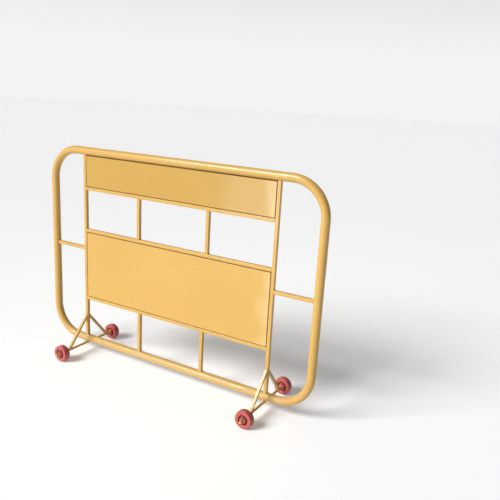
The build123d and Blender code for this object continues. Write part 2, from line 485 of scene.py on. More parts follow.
class Recipe:
    """The node tree of a material or of the world, built up by calls."""

    def __init__(self, owner: bpy.types.Material | bpy.types.World, place: str = "Object") -> None:
        """Empties the owner's node tree.

        Args:
            owner: the material or world.
            place: the texture coordinate that its patterns read.
        """
        self.owner = owner
        owner.use_nodes = True
        self.tree = owner.node_tree
        self.tree.nodes.clear()
        self.place = self.node("ShaderNodeTexCoord", output=place)

    @classmethod
    def of(cls, name: str) -> "Recipe":
        """Starts a new material of that name."""
        return cls(bpy.data.materials.new(name))

    def node(self, kind: str, settings: dict | None = None, inputs: dict | None = None,
             output: str | int = 0) -> Signal:
        """Adds a node.

        Args:
            kind: the node's type.
            settings: its own settings, set first.
            inputs: values or signals for its sockets, by name or number.
            output: the socket that the result wraps.

        Returns:
            The chosen output.
        """
        made = self.tree.nodes.new(kind)
        for key, value in (settings or {}).items():
            setattr(made, key, value)
        for key, value in (inputs or {}).items():
            if isinstance(value, Signal):
                self.tree.links.new(value.socket, made.inputs[key])
            else:
                made.inputs[key].default_value = value
        return Signal(self, made.outputs[output])

    def noise(self, scale: float, detail: float = 2.0, rough: float = 0.5,
              place: Signal | None = None) -> Signal:
        """A cloudy pattern from 0 to 1, with its features about 1/scale metres apart."""
        return self.node(
            "ShaderNodeTexNoise", {},
            {"Vector": place or self.place, "Scale": scale, "Detail": detail, "Roughness": rough},
        )

    def moved(self, location: Sequence[float] = (0, 0, 0),
              scale: Sequence[float] = (1, 1, 1)) -> Signal:
        """The place on the piece, stretched and then moved."""
        return self.node(
            "ShaderNodeMapping", {},
            {"Vector": self.place, "Location": location, "Scale": scale},
        )

    def length(self, vector: Signal) -> Signal:
        """The length of a vector."""
        return self.node("ShaderNodeVectorMath", {"operation": "LENGTH"}, {0: vector}, "Value")

    def axis(self, name: str) -> Signal:
        """One coordinate of the place on the piece: X, Y or Z."""
        return self.node("ShaderNodeSeparateXYZ", {}, {0: self.place}, name)

    def attribute(self, name: str) -> Signal:
        """A point attribute of the piece, which is 0 where the piece has none."""
        return self.node("ShaderNodeAttribute", {"attribute_name": name}, {}, "Fac")

    def blend(self, share: Value, first: Signal | Colour, second: Signal | Colour) -> Signal:
        """A colour that goes from first to second as share goes from 0 to 1."""
        colours = {0: share, 6: first, 7: second}
        return self.node("ShaderNodeMix", {"data_type": "RGBA"}, colours, 2)

    def bump(self, height: Signal, depth: float, under: Signal | None = None) -> Signal:
        """A normal from a height of 0 to 1, in metres of depth, on top of another normal."""
        inputs = {"Height": height, "Distance": depth, "Strength": 1.0}
        if under:
            inputs["Normal"] = under
        return self.node("ShaderNodeBump", {}, inputs)

    def finish(self, inputs: dict) -> bpy.types.Material:
        """Ends the recipe with the main shader.

        Args:
            inputs: values or signals for the main shader's sockets.

        Returns:
            The finished material.
        """
        shader = self.node("ShaderNodeBsdfPrincipled", {}, inputs, "BSDF")
        self.end(shader, "ShaderNodeOutputMaterial")
        return self.owner

    def end(self, shader: Signal, kind: str) -> None:
        """Links a shader to the tree's output node, which is of that kind."""
        output = self.tree.nodes.new(kind)
        self.tree.links.new(shader.socket, output.inputs["Surface"])


# ---------------------------------------------------------------------------------------
# Finishes
# ---------------------------------------------------------------------------------------


@dataclass(frozen=True)
class PowderCoat:
    """Golden-yellow baked powder coat on steel, used and a little dusty."""

    name: str
    colour: Colour = (0.600, 0.368, 0.093, 1)
    shade: Colour = (0.52, 0.300, 0.064, 1)
    deep: Colour = (0.38, 0.200, 0.026, 1)
    bare: Colour = (0.17, 0.13, 0.10, 1)
    dust: Colour = (0.50, 0.42, 0.30, 1)
    # the pale tone below is a painted highlight: the sky's reflection at the panels' right-hand
    # ends
    painted_highlight: Colour = (0.74, 0.56, 0.30, 1)
    # the dark brown below is dirt on the welds, and painted shade in the panels' folded seams and
    # along the back sheets' edges
    dirt: Colour = (0.075, 0.034, 0.006, 1)
    roughness: float = 0.36
    peel_depth: float = 0.035 * MM    # height of the orange-peel ripple
    peel_scale: float = 420.0         # ripples to the metre
    speck_scale: float = 330.0        # specks of tone to the metre
    mottle_scale: float = 125.0       # larger spots of tone to the metre
    mottle: float = 0.20              # share of the deep colour in them
    grain: float = 0.55               # share of the shade in the specks
    rubbed: float = 0.16              # share of dust in the rubbed streaks
    splashed: float = 0.32            # share of dust in the splashes
    dust_floor: float = 0.02          # height above the floor where splashes are thickest
    dust_top: float = 0.22            # height where they end
    chips: float = 1.0                # how readily knocked corners chip
    chip_depth: float = 0.07 * MM
    gloss: float = 0.45               # weight of the clear top of the coat
    fade: float = 0.0                 # share of the painted highlight at the right-hand end, a painted sky reflection

    def material(self) -> bpy.types.Material:
        """Builds the finish.

        Returns:
            The material. Its tone drifts over the piece, corners are chipped, dirt and painted
            shade sit where the grime_and_shade attribute says, dust lies low down, and a painted
            highlight, standing in for the sky's reflection, can pale the right-hand end.
        """
        r = Recipe.of(self.name)
        drift = r.noise(2.6, 3.0)
        cloud = r.noise(14.0, 4.0, 0.6)
        speck = r.noise(self.speck_scale, 2.0, 0.7)
        peel = r.noise(self.peel_scale, 1.5)
        knock, grime_and_shade = r.attribute(KNOCK), r.attribute(GRIME_AND_SHADE)

        tone = (drift * 0.6 + cloud * 0.15 + speck * 0.25).ramp(0.30, 0.72)
        paint = r.blend(tone * 0.62, self.colour, self.shade)
        grain = (1.0 - speck).ramp(0.48, 0.72)
        paint = r.blend(grain * self.grain, paint, self.shade)
        mottle = r.noise(self.mottle_scale, 3.0, 0.65).ramp(0.40, 0.62)
        paint = r.blend(mottle * self.mottle, paint, self.deep)

        rub_lines = r.noise(38.0, 3.0, 0.65, r.moved(scale=(0.12, 1.0, 1.0)))
        rub = rub_lines.ramp(0.60, 0.72) * cloud.ramp(0.45, 0.65)
        paint = r.blend(rub * self.rubbed, paint, self.dust)

        # Painted highlight: a paler patch at the right-hand end stands in for the sky's reflection
        # in the sheet.
        if self.fade:
            highlight_patch = (r.axis("X") + r.noise(6.0, 2.0) * 0.16).ramp(0.53, 0.61)
            paint = r.blend(highlight_patch * self.fade, paint, self.painted_highlight)

        splash = r.axis("Z").ramp(self.dust_top, self.dust_floor) * cloud.ramp(0.35, 0.62)
        paint = r.blend(splash * self.splashed, paint, self.dust)
        # Dirt and painted shade: where the grime attribute is high the paint goes dark brown, as
        # dirt on the welds and as painted shade in the panels' seams and back-sheet edges.
        held = (grime_and_shade * (0.72 + 0.28 * cloud)).ramp(0.15, 0.85)
        paint = r.blend(held * 0.9, paint, self.dirt)

        patch = r.noise(7.0, 2.0).ramp(0.50, 0.66)
        spots = r.noise(260.0, 3.0, 0.62)
        chip = (knock * 0.17 * self.chips + spots + patch * 0.07).ramp(0.795, 0.815)
        paint = r.blend(chip * 0.85, paint, self.bare)

        roughness = self.roughness + rub * 0.14 + splash * 0.26 + held * 0.3 + cloud * 0.05
        normal = r.bump(peel, self.peel_depth)
        normal = r.bump(1.0 - chip, self.chip_depth, normal)
        return r.finish({
            "Base Color": paint,
            "Roughness": roughness,
            "Metallic": chip * 0.5,
            "Normal": normal,
            "IOR": 1.36,
            "Coat Weight": (1.0 - held.top(splash)) * self.gloss,
            "Coat Roughness": 0.12,
        })


@dataclass(frozen=True)
class MouldedWheel:
    """Red moulded plastic, scuffed at the rims, with painted shade in its groove and recess."""

    name: str
    centre: Vector
    rim: float
    colour: Colour = (0.50, 0.100, 0.088, 1)
    shade: Colour = (0.36, 0.050, 0.046, 1)
    scuff: Colour = (0.66, 0.27, 0.23, 1)
    # the deep red below is painted shade in the wheel's groove and recess, and dirt on the washers
    dirt: Colour = (0.115, 0.010, 0.009, 1)
    roughness: float = 0.30
    ring_pace: float = 5200.0         # radians of the turned rings to a metre of radius
    ring_depth: float = 0.02 * MM
    scuff_depth: float = 0.05 * MM

    def material(self) -> bpy.types.Material:
        """Builds the finish.

        Returns:
            The material. Fine rings from turning the mould follow the wheel's own centre.
        """
        r = Recipe.of(self.name)
        c = self.centre
        from_axis = r.length(r.moved(location=(-c.x, 0, -c.z), scale=(1, 0, 1)))
        cloud = r.noise(60.0, 4.0, 0.6)
        grain = r.noise(1400.0, 2.0)
        knock, grime_and_shade = r.attribute(KNOCK), r.attribute(GRIME_AND_SHADE)

        tone = (cloud * 0.8 + grain * 0.2).ramp(0.35, 0.68)
        red = r.blend(tone, self.colour, self.shade)
        pitted = r.noise(520.0, 4.0, 0.72)
        worn = (knock * 0.24 + pitted * 0.8).ramp(0.60, 0.82)
        red = r.blend(worn * 0.38, red, self.scuff)
        on_tread = (from_axis / self.rim).ramp(0.955, 0.99)
        tread = on_tread * r.noise(170.0, 3.0, 0.7).ramp(0.42, 0.66)
        red = r.blend(tread * 0.35, red, self.shade)
        # Painted shade: where the grime attribute is high, in the groove, the recess and round the
        # bore, the red goes deep red; on the washers it is dirt.
        held = (grime_and_shade * (0.8 + 0.4 * cloud)).ramp(0.1, 0.9)
        red = r.blend(held * 0.92, red, self.dirt)

        sine = {"operation": "SINE"}
        rings = r.node("ShaderNodeMath", sine, {0: from_axis * self.ring_pace})
        normal = r.bump(rings * 0.5 + grain, self.ring_depth)
        normal = r.bump(1.0 - worn, self.scuff_depth, normal)
        return r.finish({
            "Base Color": red,
            "Roughness": self.roughness + worn * 0.22 + held * 0.3,
            "Normal": normal,
            "IOR": 1.55,
        })


@dataclass(frozen=True)
class DullSteel:
    """Metal with its own surface showing: zinc plate, or plain drawn steel."""

    name: str
    colour: Colour
    shade: Colour
    roughness: float = 0.34
    patch_scale: float = 900.0        # crystals to the metre
    scratch_depth: float = 0.02 * MM

    def material(self) -> bpy.types.Material:
        """Builds the finish.

        Returns:
            The material, mottled in patches and finely scratched.
        """
        r = Recipe.of(self.name)
        patches = r.node(
            "ShaderNodeTexVoronoi", {"feature": "F1"},
            {"Vector": r.place, "Scale": self.patch_scale}, "Color",
        )
        grey = r.node("ShaderNodeSeparateColor", {}, {0: patches}, "Red")
        cloud = r.noise(110.0, 4.0, 0.6)
        scratches = r.noise(900.0, 2.0, 0.6, r.moved(scale=(1.0, 0.08, 1.0)))
        tone = (grey * 0.35 + cloud * 0.65).ramp(0.25, 0.75)
        return r.finish({
            "Base Color": r.blend(tone, self.colour, self.shade),
            "Roughness": self.roughness + cloud * 0.2 + grey * 0.08,
            "Metallic": 1.0,
            "Normal": r.bump(scratches, self.scratch_depth),
        })


@dataclass(frozen=True)
class BearingPlastic:
    """Dark self-oiling plastic of the bushes, greasy with dust."""

    name: str
    colour: Colour = (0.075, 0.070, 0.066, 1)
    shade: Colour = (0.15, 0.13, 0.11, 1)
    roughness: float = 0.34
    grain_depth: float = 0.015 * MM

    def material(self) -> bpy.types.Material:
        """Builds the finish, cloudy with a fine grain."""
        r = Recipe.of(self.name)
        cloud = r.noise(240.0, 4.0, 0.6)
        grain = r.noise(2200.0, 2.0)
        return r.finish({
            "Base Color": r.blend(cloud.ramp(0.4, 0.7), self.colour, self.shade),
            "Roughness": self.roughness + cloud * 0.3,
            "Normal": r.bump(grain, self.grain_depth),
            "IOR": 1.5,
        })


@dataclass(frozen=True)
class PaleFloor:
    """Plain matt pale studio floor."""

    name: str = "studio_floor"
    colour: Colour = (0.93, 0.93, 0.93, 1)
    shade: Colour = (0.90, 0.90, 0.90, 1)
    glow: float = 0.13                # its own light, as of a floor lit through from below
    grain_depth: float = 0.05 * MM

    def material(self) -> bpy.types.Material:
        """Builds the finish, faintly cloudy."""
        r = Recipe.of(self.name)
        return r.finish({
            "Base Color": r.blend(r.noise(1.4, 3.0), self.colour, self.shade),
            "Roughness": 0.85,
            "Normal": r.bump(r.noise(180.0, 2.0), self.grain_depth),
            "Specular IOR Level": 0.2,
            "Emission Color": (1.0, 1.0, 1.0, 1),
            "Emission Strength": self.glow,
        })


# ---------------------------------------------------------------------------------------
# Welds
# ---------------------------------------------------------------------------------------


@dataclass(frozen=True)
class Bead:
    """A hand-laid weld bead, rippled along its length."""

    radius: float = 1.7 * MM
    ripple: float = 2.1 * MM      # from one ripple to the next
    ripple_depth: float = 0.16    # as a share of the radius
    step: float = 0.42 * MM       # between rings of points
    section_points: int = 10
    knock: float = 0.12           # values of its point attributes
    grime_and_shade: float = 0.22

    def skin(self, path: np.ndarray, outward: Callable[[np.ndarray], np.ndarray] | Sequence[float],
             closes: bool) -> Skin:
        """A bead along a path.

        The section is a circle whose radius goes as 1 - d + d |sin(pi s / p)|, where s is the
        distance along the path, p the ripple's length and d its depth. An open bead also
        tapers to nothing at both ends, by the root of 1 - (2s/L - 1)^6.

        Args:
            path: the line that the bead's middle follows.
            outward: direction away from the joint, the same for the whole bead or a function
                of the path's points.
            closes: whether the bead runs round and closes.

        Returns:
            The bead's skin.
        """
        path = spaced(path, self.step, closes)
        away = np.broadcast_to(outward(path) if callable(outward) else outward, path.shape)
        away = away / np.linalg.norm(away, axis=1, keepdims=True)
        distance = self.step * np.arange(len(path))
        wave = np.abs(np.sin(math.pi * distance / self.ripple))
        size = self.radius * (1 - self.ripple_depth + self.ripple_depth * wave)
        if not closes:
            size = size * np.sqrt(1 - np.linspace(-1, 1, len(path)) ** 6)
        section = circle(1.0, self.section_points) * size[:, None, None]
        return ring_skin(swept(path, away, section, closes), closes, self.knock, self.grime_and_shade)


# ---------------------------------------------------------------------------------------
# The tube loop
# ---------------------------------------------------------------------------------------


@dataclass
class TubeLoop:
    """The bent round-tube loop: two bows, joined in the middle of the two side tubes."""

    wall: float = 1.5 * MM
    bend_radius: float = 150 * MM       # to the middle of the tube
    bend_flattening: float = 0.022      # how much a bend narrows in its own plane
    section_points: int = 64
    straight_step: float = 12 * MM
    bend_rings: int = 36
    splice_bead: float = 1.4 * MM       # radius of the bead where the bows meet
    splice_sink: float = 0.02 * MM      # how far it stays below the tube's surface
    splice_points: int = 160
    splice_cut: float = 0.9 * MM        # depth and length of the chamfer at the plain ends
    radius: float = field(init=False)
    side_x: float = field(init=False)
    top_z: float = field(init=False)
    bottom_z: float = field(init=False)
    splice_z: float = field(init=False)

    def __post_init__(self) -> None:
        """Reads the loop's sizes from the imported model."""
        upper_low, upper_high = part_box("frame_upper_bow")
        lower_low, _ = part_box("frame_lower_bow")
        self.radius = (upper_high.y - upper_low.y) / 2
        self.side_x = upper_high.x - self.radius
        self.top_z = upper_high.z - self.radius
        self.bottom_z = lower_low.z + self.radius
        self.splice_z = upper_low.z

    def line(self, rail_z: float) -> tuple[np.ndarray, np.ndarray, np.ndarray]:
        """The middle line of one bow, from its left end to its right end.

        A straight side runs from the splice, by way of its chamfer, to the bend. A quarter
        circle turns it into the level rail, and the other half mirrors the first.

        Args:
            rail_z: height of the middle of the bow's rail.

        Returns:
            The line's points, the direction away from the middle of the loop at each, and how
            far into a bend each lies, from 0 to 1.
        """
        up = math.copysign(1.0, rail_z - self.splice_z)
        bend_x = self.side_x - self.bend_radius
        bend_z = rail_z - up * self.bend_radius
        side_count = max(3, round(abs(bend_z - self.splice_z) / self.straight_step))
        rail_count = round(bend_x / self.straight_step)

        chamfer_z = self.splice_z + up * self.splice_cut
        side_z = np.r_[self.splice_z, np.linspace(chamfer_z, bend_z, side_count, endpoint=False)]
        angle = np.linspace(0, math.pi / 2, self.bend_rings)
        cos, sin = np.cos(angle), np.sin(angle)
        rail_x = np.linspace(bend_x, 0, rail_count + 1)[1:]
        side, rail = np.ones_like(side_z), np.ones_like(rail_x)
        x = np.r_[self.side_x * side, bend_x + self.bend_radius * cos, rail_x]
        z = np.r_[side_z, bend_z + up * self.bend_radius * sin, rail_z * rail]
        away_x = np.r_[side, cos, 0 * rail]
        away_z = np.r_[0 * side, up * sin, up * rail]
        bent = np.r_[0 * side, np.sin(2 * angle) ** 0.6, 0 * rail]

        whole = []
        for along_x, along_z in ((x, z), (away_x, away_z)):
            right = np.stack([along_x, 0 * along_x, along_z], axis=-1)
            whole.append(np.concatenate([right * (-1.0, 1.0, 1.0), right[-2::-1]]))
        return whole[0], whole[1], np.r_[bent, bent[-2::-1]]

    def bow(self, rail_z: float) -> Skin:
        """The hollow tube of one bow.

        The rings run out along the outside of the tube and come back along its bore, so the
        skin closes on itself at the plain ends, whose outer edge is chamfered. In a bend the
        section narrows in the plane of the bend and widens a third as much across it.

        Args:
            rail_z: height of the middle of the bow's rail.

        Returns:
            The skin.
        """
        points, away, bent = self.line(rail_z)
        flattening = self.bend_flattening * bent
        narrow = np.stack([1 - flattening, 1 + flattening / 3], axis=-1)[:, None]
        outer = circle(self.radius, self.section_points) * narrow
        outer[[0, -1]] *= 1 - self.splice_cut / self.radius
        bore = circle(self.radius - self.wall, self.section_points) * narrow
        out_rings = swept(points, away, outer, False)
        back_rings = swept(points, away, bore, False)[::-1]
        return ring_skin(np.concatenate([out_rings, back_rings]), True)

    def splices(self) -> Skin:
        """The beads that fill the chamfers where the bows meet, flush with the tube."""
        bead = Bead(radius=self.splice_bead, ripple_depth=0.12)
        ring = circle(self.radius - self.splice_bead - self.splice_sink, self.splice_points)
        skins = []
        for side in Side:
            middle = np.array([side.value * self.side_x, 0, self.splice_z])
            path = middle + np.column_stack([ring, np.zeros(len(ring))])
            skins.append(bead.skin(path, lambda p, m=middle: p - m, True))
        return merged(skins)

    def build(self, paint: bpy.types.Material, steel: bpy.types.Material) -> None:
        """Adds the two bows and their splices.

        Args:
            paint: the loop's powder coat.
            steel: finish of the sleeves inside the tube.
        """
        for half, rail_z in (("upper", self.top_z), ("lower", self.bottom_z)):
            Piece(f"loop_{half}_tube", self.bow(rail_z), paint, "loop_paint",
                  stands_for=(f"frame_{half}_bow",)).add()
        Piece("loop_splice_beads", self.splices(), paint, "loop_paint").add()
        dress_node("frame_splice_sleeves", steel)


# ---------------------------------------------------------------------------------------
# The square-bar grid
# ---------------------------------------------------------------------------------------


@dataclass
class GridBar:
    """One square bar of the grid: which node it stands for, and how its two ends are cut."""

    node: str
    run: Run
    low_seat: Seat = Seat.FLAT
    high_seat: Seat = Seat.FLAT


@dataclass
class BarGrid:
    """The grid of hollow square bar inside the loop, and the welds that hold it."""

    loop: TubeLoop
    wall: float = 1.5 * MM
    corner: float = 1.5 * MM
    ring_step: float = 16 * MM
    bead: Bead = Bead()
    bead_inset: float = 0.35      # how far a bead's middle lies in from the bar's face, in radii
    side: float = field(init=False)

    def __post_init__(self) -> None:
        """Reads the bar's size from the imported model."""
        low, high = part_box("upright_left")
        self.side = high.y - low.y

    def bars(self) -> list[GridBar]:
        """Every bar of the grid, with its cuts."""
        rails = ("upper_panel_rail", "lower_panel_top_rail", "lower_panel_bottom_rail")
        found = [GridBar(node, Run.ALONG) for node in rails]
        for side in Side:
            outer_seats = (Seat.TUBE, Seat.FLAT)[::-side.value]
            found += [
                GridBar(f"upright_{side.label}", Run.UP, Seat.TUBE, Seat.TUBE),
                GridBar(f"side_rail_{side.label}", Run.ALONG, *outer_seats),
                GridBar(f"window_bar_{side.label}", Run.UP),
                GridBar(f"lower_bar_{side.label}", Run.UP, Seat.TUBE, Seat.FLAT),
            ]
        return found

    def end_line(self, bar: GridBar, section: np.ndarray, top: bool) -> np.ndarray:
        """Where the bar ends, along its run, at each point of its section.

        A flat end is the same all over. A coped end follows the tube it sits on, at the
        tube's middle less the root of (tube radius squared - y squared), or plus it at the
        bar's low end.

        Args:
            bar: the bar.
            section: the section's points, the first number across the bar and the second y.
            top: the high end rather than the low one.

        Returns:
            The place of the end at each of the section's points.
        """
        if (bar.high_seat if top else bar.low_seat) is Seat.FLAT:
            return np.full(len(section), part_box(bar.node)[top][bar.run.value])
        y = np.clip(section[:, 1], -self.loop.radius, self.loop.radius)
        rise = np.sqrt(self.loop.radius**2 - y**2)
        if bar.run is Run.UP:
            return self.loop.top_z - rise if top else self.loop.bottom_z + rise
        return self.loop.side_x - rise if top else rise - self.loop.side_x

    def placed(self, bar: GridBar, section: np.ndarray, along: np.ndarray) -> np.ndarray:
        """Puts section points and places along the bar into the barrier's axes.

        Args:
            bar: the bar.
            section: across and y.
            along: the place along the run, one row for each ring.

        Returns:
            Points by ring and by place in the ring.
        """
        middle, _ = middle_and_half(bar.node)
        across_axis = 2 - bar.run.value
        points = np.empty((*along.shape, 3))
        points[..., across_axis] = middle[across_axis] + section[:, 0]
        points[..., 1] = section[:, 1]
        points[..., bar.run.value] = along
        return points

    def bar_skin(self, bar: GridBar) -> Skin:
        """The hollow bar: straight lines from one end's cut to the other, outside and inside.

        Args:
            bar: the bar.

        Returns:
            The skin, most exposed to knocks at its four corners.
        """
        room = self.side - 2 * self.wall
        walls = []
        for side, corner in ((self.side, self.corner), (room, self.corner / 3)):
            section = rounded_square(side, side, corner)
            low, high = self.end_line(bar, section, False), self.end_line(bar, section, True)
            count = max(4, round(float((high - low).max()) / self.ring_step))
            share = np.linspace(0, 1, count)[:, None]
            walls.append(self.placed(bar, section, low * (1 - share) + high * share))
        return ring_skin(np.concatenate([walls[0], walls[1][::-1]]), True, corner_mask())

    def bead_skin(self, bar: GridBar, top: bool) -> Skin:
        """The bead round one end of a bar, on the line where it meets its neighbour.

        Args:
            bar: the bar.
            top: the high end rather than the low one.

        Returns:
            The bead's skin.
        """
        side = self.side - 2 * self.bead.radius * self.bead_inset
        section = spaced(rounded_square(side, side, self.corner), self.bead.step, True)
        path = self.placed(bar, section, self.end_line(bar, section, top)[None])[0]
        middle = path.mean(axis=0)
        keep = np.ones(3)
        keep[bar.run.value] = 0
        return self.bead.skin(path, lambda p: (p - middle) * keep, True)

    def build(self, paint: bpy.types.Material) -> None:
        """Adds every bar and its beads, with the grid's powder coat."""
        for bar in self.bars():
            Piece(bar.node + "_bar", self.bar_skin(bar), paint, "grid_paint",
                  stands_for=(bar.node,)).add()
            beads = merged([self.bead_skin(bar, top) for top in (False, True)])
            Piece(bar.node + "_beads", beads, paint, "grid_paint").add()


# ---------------------------------------------------------------------------------------
# The sheet panels
# ---------------------------------------------------------------------------------------


@dataclass
class SheetPanel:
    """One folded front pan and the flat sheet behind it, stitched to the bars at the back."""

    name: str
    sheet: float = 1.2 * MM
    bend: float = 2.5 * MM            # outside radius of the pan's folded edges
    bend_rings: int = 7
    cell: float = 7 * MM              # between points on the flat of the sheet
    seam_width: float = 3.2 * MM      # of the flat strip inside the bends
    waviness: float = 0.45 * MM       # how far the flat of the pan dips between its edges
    back_share: float = 0.7           # the back sheet's dip as a share of the pan's
    edge_dirt: float = 1.2            # width of the darkened edge of the back sheet, in cells: dirt and painted shade
    stitch: float = 17 * MM           # length of one stitch of weld
    stitch_pitch: float = 128 * MM
    stitch_sink: float = 0.6          # depth of a stitch's middle, in radii
    bead: Bead = Bead(radius=1.9 * MM)
    low: Vector = field(init=False)
    high: Vector = field(init=False)

    def __post_init__(self) -> None:
        """Reads the pan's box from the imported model."""
        self.low, self.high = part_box(f"{self.name}_pan")

    def grid(self, low: Vector, high: Vector, inset: float = 0.0) -> np.ndarray:
        """Points of a grid over a rectangle, the same number whatever its size.

        Args:
            low: lowest corner of the panel.
            high: highest corner of the panel.
            inset: distance of the rectangle in from the panel's edges.

        Returns:
            x and z of the points, by height and length.
        """
        size = self.high - self.low
        x = np.linspace(low.x + inset, high.x - inset, round(size.x / self.cell) + 1)
        z = np.linspace(low.z + inset, high.z - inset, round(size.z / self.cell) + 1)
        return np.stack(np.meshgrid(x, z), axis=-1)

    def dip(self, x: np.ndarray, z: np.ndarray) -> np.ndarray:
        """How far the sheet dips back from flat at each point.

        It is a sum of three long waves, times a window that is 0 along the edges of the flat:
        (1 - u^4)(1 - v^4), where u and v run from -1 to 1 across the flat and up it.

        Args:
            x: place along the barrier.
            z: height.

        Returns:
            The dip in metres.
        """
        border_width = self.bend + self.seam_width
        u, v = (
            (2 * at - low - high) / (high - low - 2 * border_width)
            for at, low, high in ((x, self.low.x, self.high.x), (z, self.low.z, self.high.z))
        )
        window = np.clip(1 - u**4, 0, 1) * np.clip(1 - v**4, 0, 1)
        waves = 0.5 + 0.32 * np.sin(3.1 * u + 1.3 * v + 0.4) + 0.22 * np.sin(7.3 * u - 2.1 * v)
        waves += 0.16 * np.sin(12.7 * u + 3.7 * v + 1.1)
        return self.waviness * window * waves

    def fold(self, behind: float) -> tuple[np.ndarray, np.ndarray]:
        """One side of the folded sheet: its rim of rectangles, and the flat inside them.

        Rectangles follow one another from the free edge of the fold, along its flat, round
        the bend by a quarter circle, and on to the face. The face is a grid of dipped points
        that starts on the last rectangle.

        Args:
            behind: how far this side lies behind the sheet's outer side.

        Returns:
            The rim's points by rectangle and place, and the face's by height and length.
        """
        turn = np.linspace(0, math.pi / 2, self.bend_rings)
        radius = self.bend - behind
        to_face = self.bend + np.array([0.5, 1.0]) * self.seam_width
        insets = np.r_[behind, behind, self.bend - radius * np.cos(turn), to_face]
        depth = self.high.y - self.low.y
        depths = np.r_[depth, depth / 2, self.bend - radius * np.sin(turn), behind, behind]
        flat = np.stack([border(self.grid(self.low, self.high, inset)) for inset in insets])
        rim = np.insert(flat, 1, self.low.y + depths[:, None], axis=-1)

        face = self.grid(self.low, self.high, float(insets[-1]))
        face_y = self.low.y + behind + self.dip(face[..., 0], face[..., 1])
        return rim, np.insert(face, 1, face_y, axis=-1)

    def pan(self) -> Skin:
        """The folded pan: its outer side, its inner side, and the free edge between them.

        Returns:
            The closed skin.
        """
        outer_rim, outer_face = self.fold(0.0)
        inner_rim, inner_face = self.fold(self.sheet)
        rim = np.concatenate([inner_rim[::-1], outer_rim])
        # The fold's bend and the strip inside it get high grime values: painted shade along the
        # seam between pan and bar, with some dirt.
        bend_grime_and_shade = np.linspace(1.0, 0.9, self.bend_rings)
        outer_grime_and_shade = np.r_[1.0, 1.0, bend_grime_and_shade, 0.3, 0.0]
        outer_knock = np.r_[0.0, 0.0, np.full(self.bend_rings, 0.45), 0.0, 0.0]
        grime_and_shade = np.r_[outer_grime_and_shade[::-1], outer_grime_and_shade]
        knock = np.r_[np.zeros(len(inner_rim)), outer_knock]
        rim_quads = grid_quads(len(rim), rim.shape[1], False, True)
        face_quads = grid_quads(*outer_face.shape[:2], False, False)
        rim_count, face_count = rim[..., 0].size, outer_face[..., 0].size
        inner_quads = face_quads[:, ::-1] + rim_count + face_count
        return Skin(
            np.concatenate([part.reshape(-1, 3) for part in (rim, outer_face, inner_face)]),
            np.concatenate([rim_quads, face_quads + rim_count, inner_quads]),
            *(np.r_[np.repeat(v, rim.shape[1]), np.zeros(2 * face_count)] for v in (knock, grime_and_shade)),
        ).outward()

    def back(self) -> Skin:
        """The flat back sheet as a closed plate, its two faces dipping together.

        Returns:
            The skin.
        """
        low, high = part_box(f"{self.name}_back")
        grid = self.grid(low, high)
        x, z = grid[..., 0], grid[..., 1]
        dip = self.dip(x, z) * self.back_share
        outer, inner = (
            np.insert(grid, 1, y - dip, axis=-1).reshape(-1, 3) for y in (high.y, low.y)
        )
        face = grid_quads(*x.shape, False, False)
        rim = border(np.arange(x.size).reshape(x.shape))
        next_rim = np.roll(rim, -1)
        edge = np.stack([rim, next_rim, next_rim + x.size, rim + x.size], axis=-1)
        # The back sheet is darkened along its edge where it meets the bars: painted shade, with
        # some dirt.
        from_edge = np.min([x - low.x, high.x - x, z - low.z, high.z - z], axis=0).ravel()
        grime_and_shade = np.clip(1 - from_edge / (self.edge_dirt * self.cell), 0, 1) * 0.8
        quads = np.concatenate([face, face[:, ::-1] + x.size, edge[:, ::-1]])
        knock = np.tile(grime_and_shade * 0.3, 2)
        return Skin(np.concatenate([outer, inner]), quads, knock, np.tile(grime_and_shade, 2)).outward()

    def stitches(self) -> Skin:
        """Short weld beads at equal spaces round the edge of the back sheet.

        Returns:
            The skin of them all.
        """
        low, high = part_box(f"{self.name}_back")
        skins = []
        for axis, across_axis in ((0, 2), (2, 0)):
            span = high[axis] - low[axis]
            count = max(2, round(span / self.stitch_pitch))
            middles = low[axis] + span * (np.arange(count) + 0.5) / count
            for across in (low[across_axis], high[across_axis]):
                for middle in middles:
                    ends = np.zeros((2, 3))
                    ends[:, axis] = middle + np.array([-0.5, 0.5]) * self.stitch
                    ends[:, across_axis] = across
                    ends[:, 1] = high.y - self.stitch_sink * self.bead.radius
                    skins.append(self.bead.skin(ends, (0, 1, 0), False))
        return merged(skins)

    def build(self, paint: bpy.types.Material) -> None:
        """Adds the pan, the back sheet and its stitches, with the panel's powder coat."""
        parts = (("front_pan", "pan", self.pan()), ("back_sheet", "back", self.back()))
        for part, node, skin in parts:
            Piece(f"{self.name}_{part}", skin, paint, "panel_paint",
                  stands_for=(f"{self.name}_{node}",)).add()
        Piece(f"{self.name}_stitches", self.stitches(), paint, "panel_paint").add()


# ---------------------------------------------------------------------------------------
# The feet
# ---------------------------------------------------------------------------------------


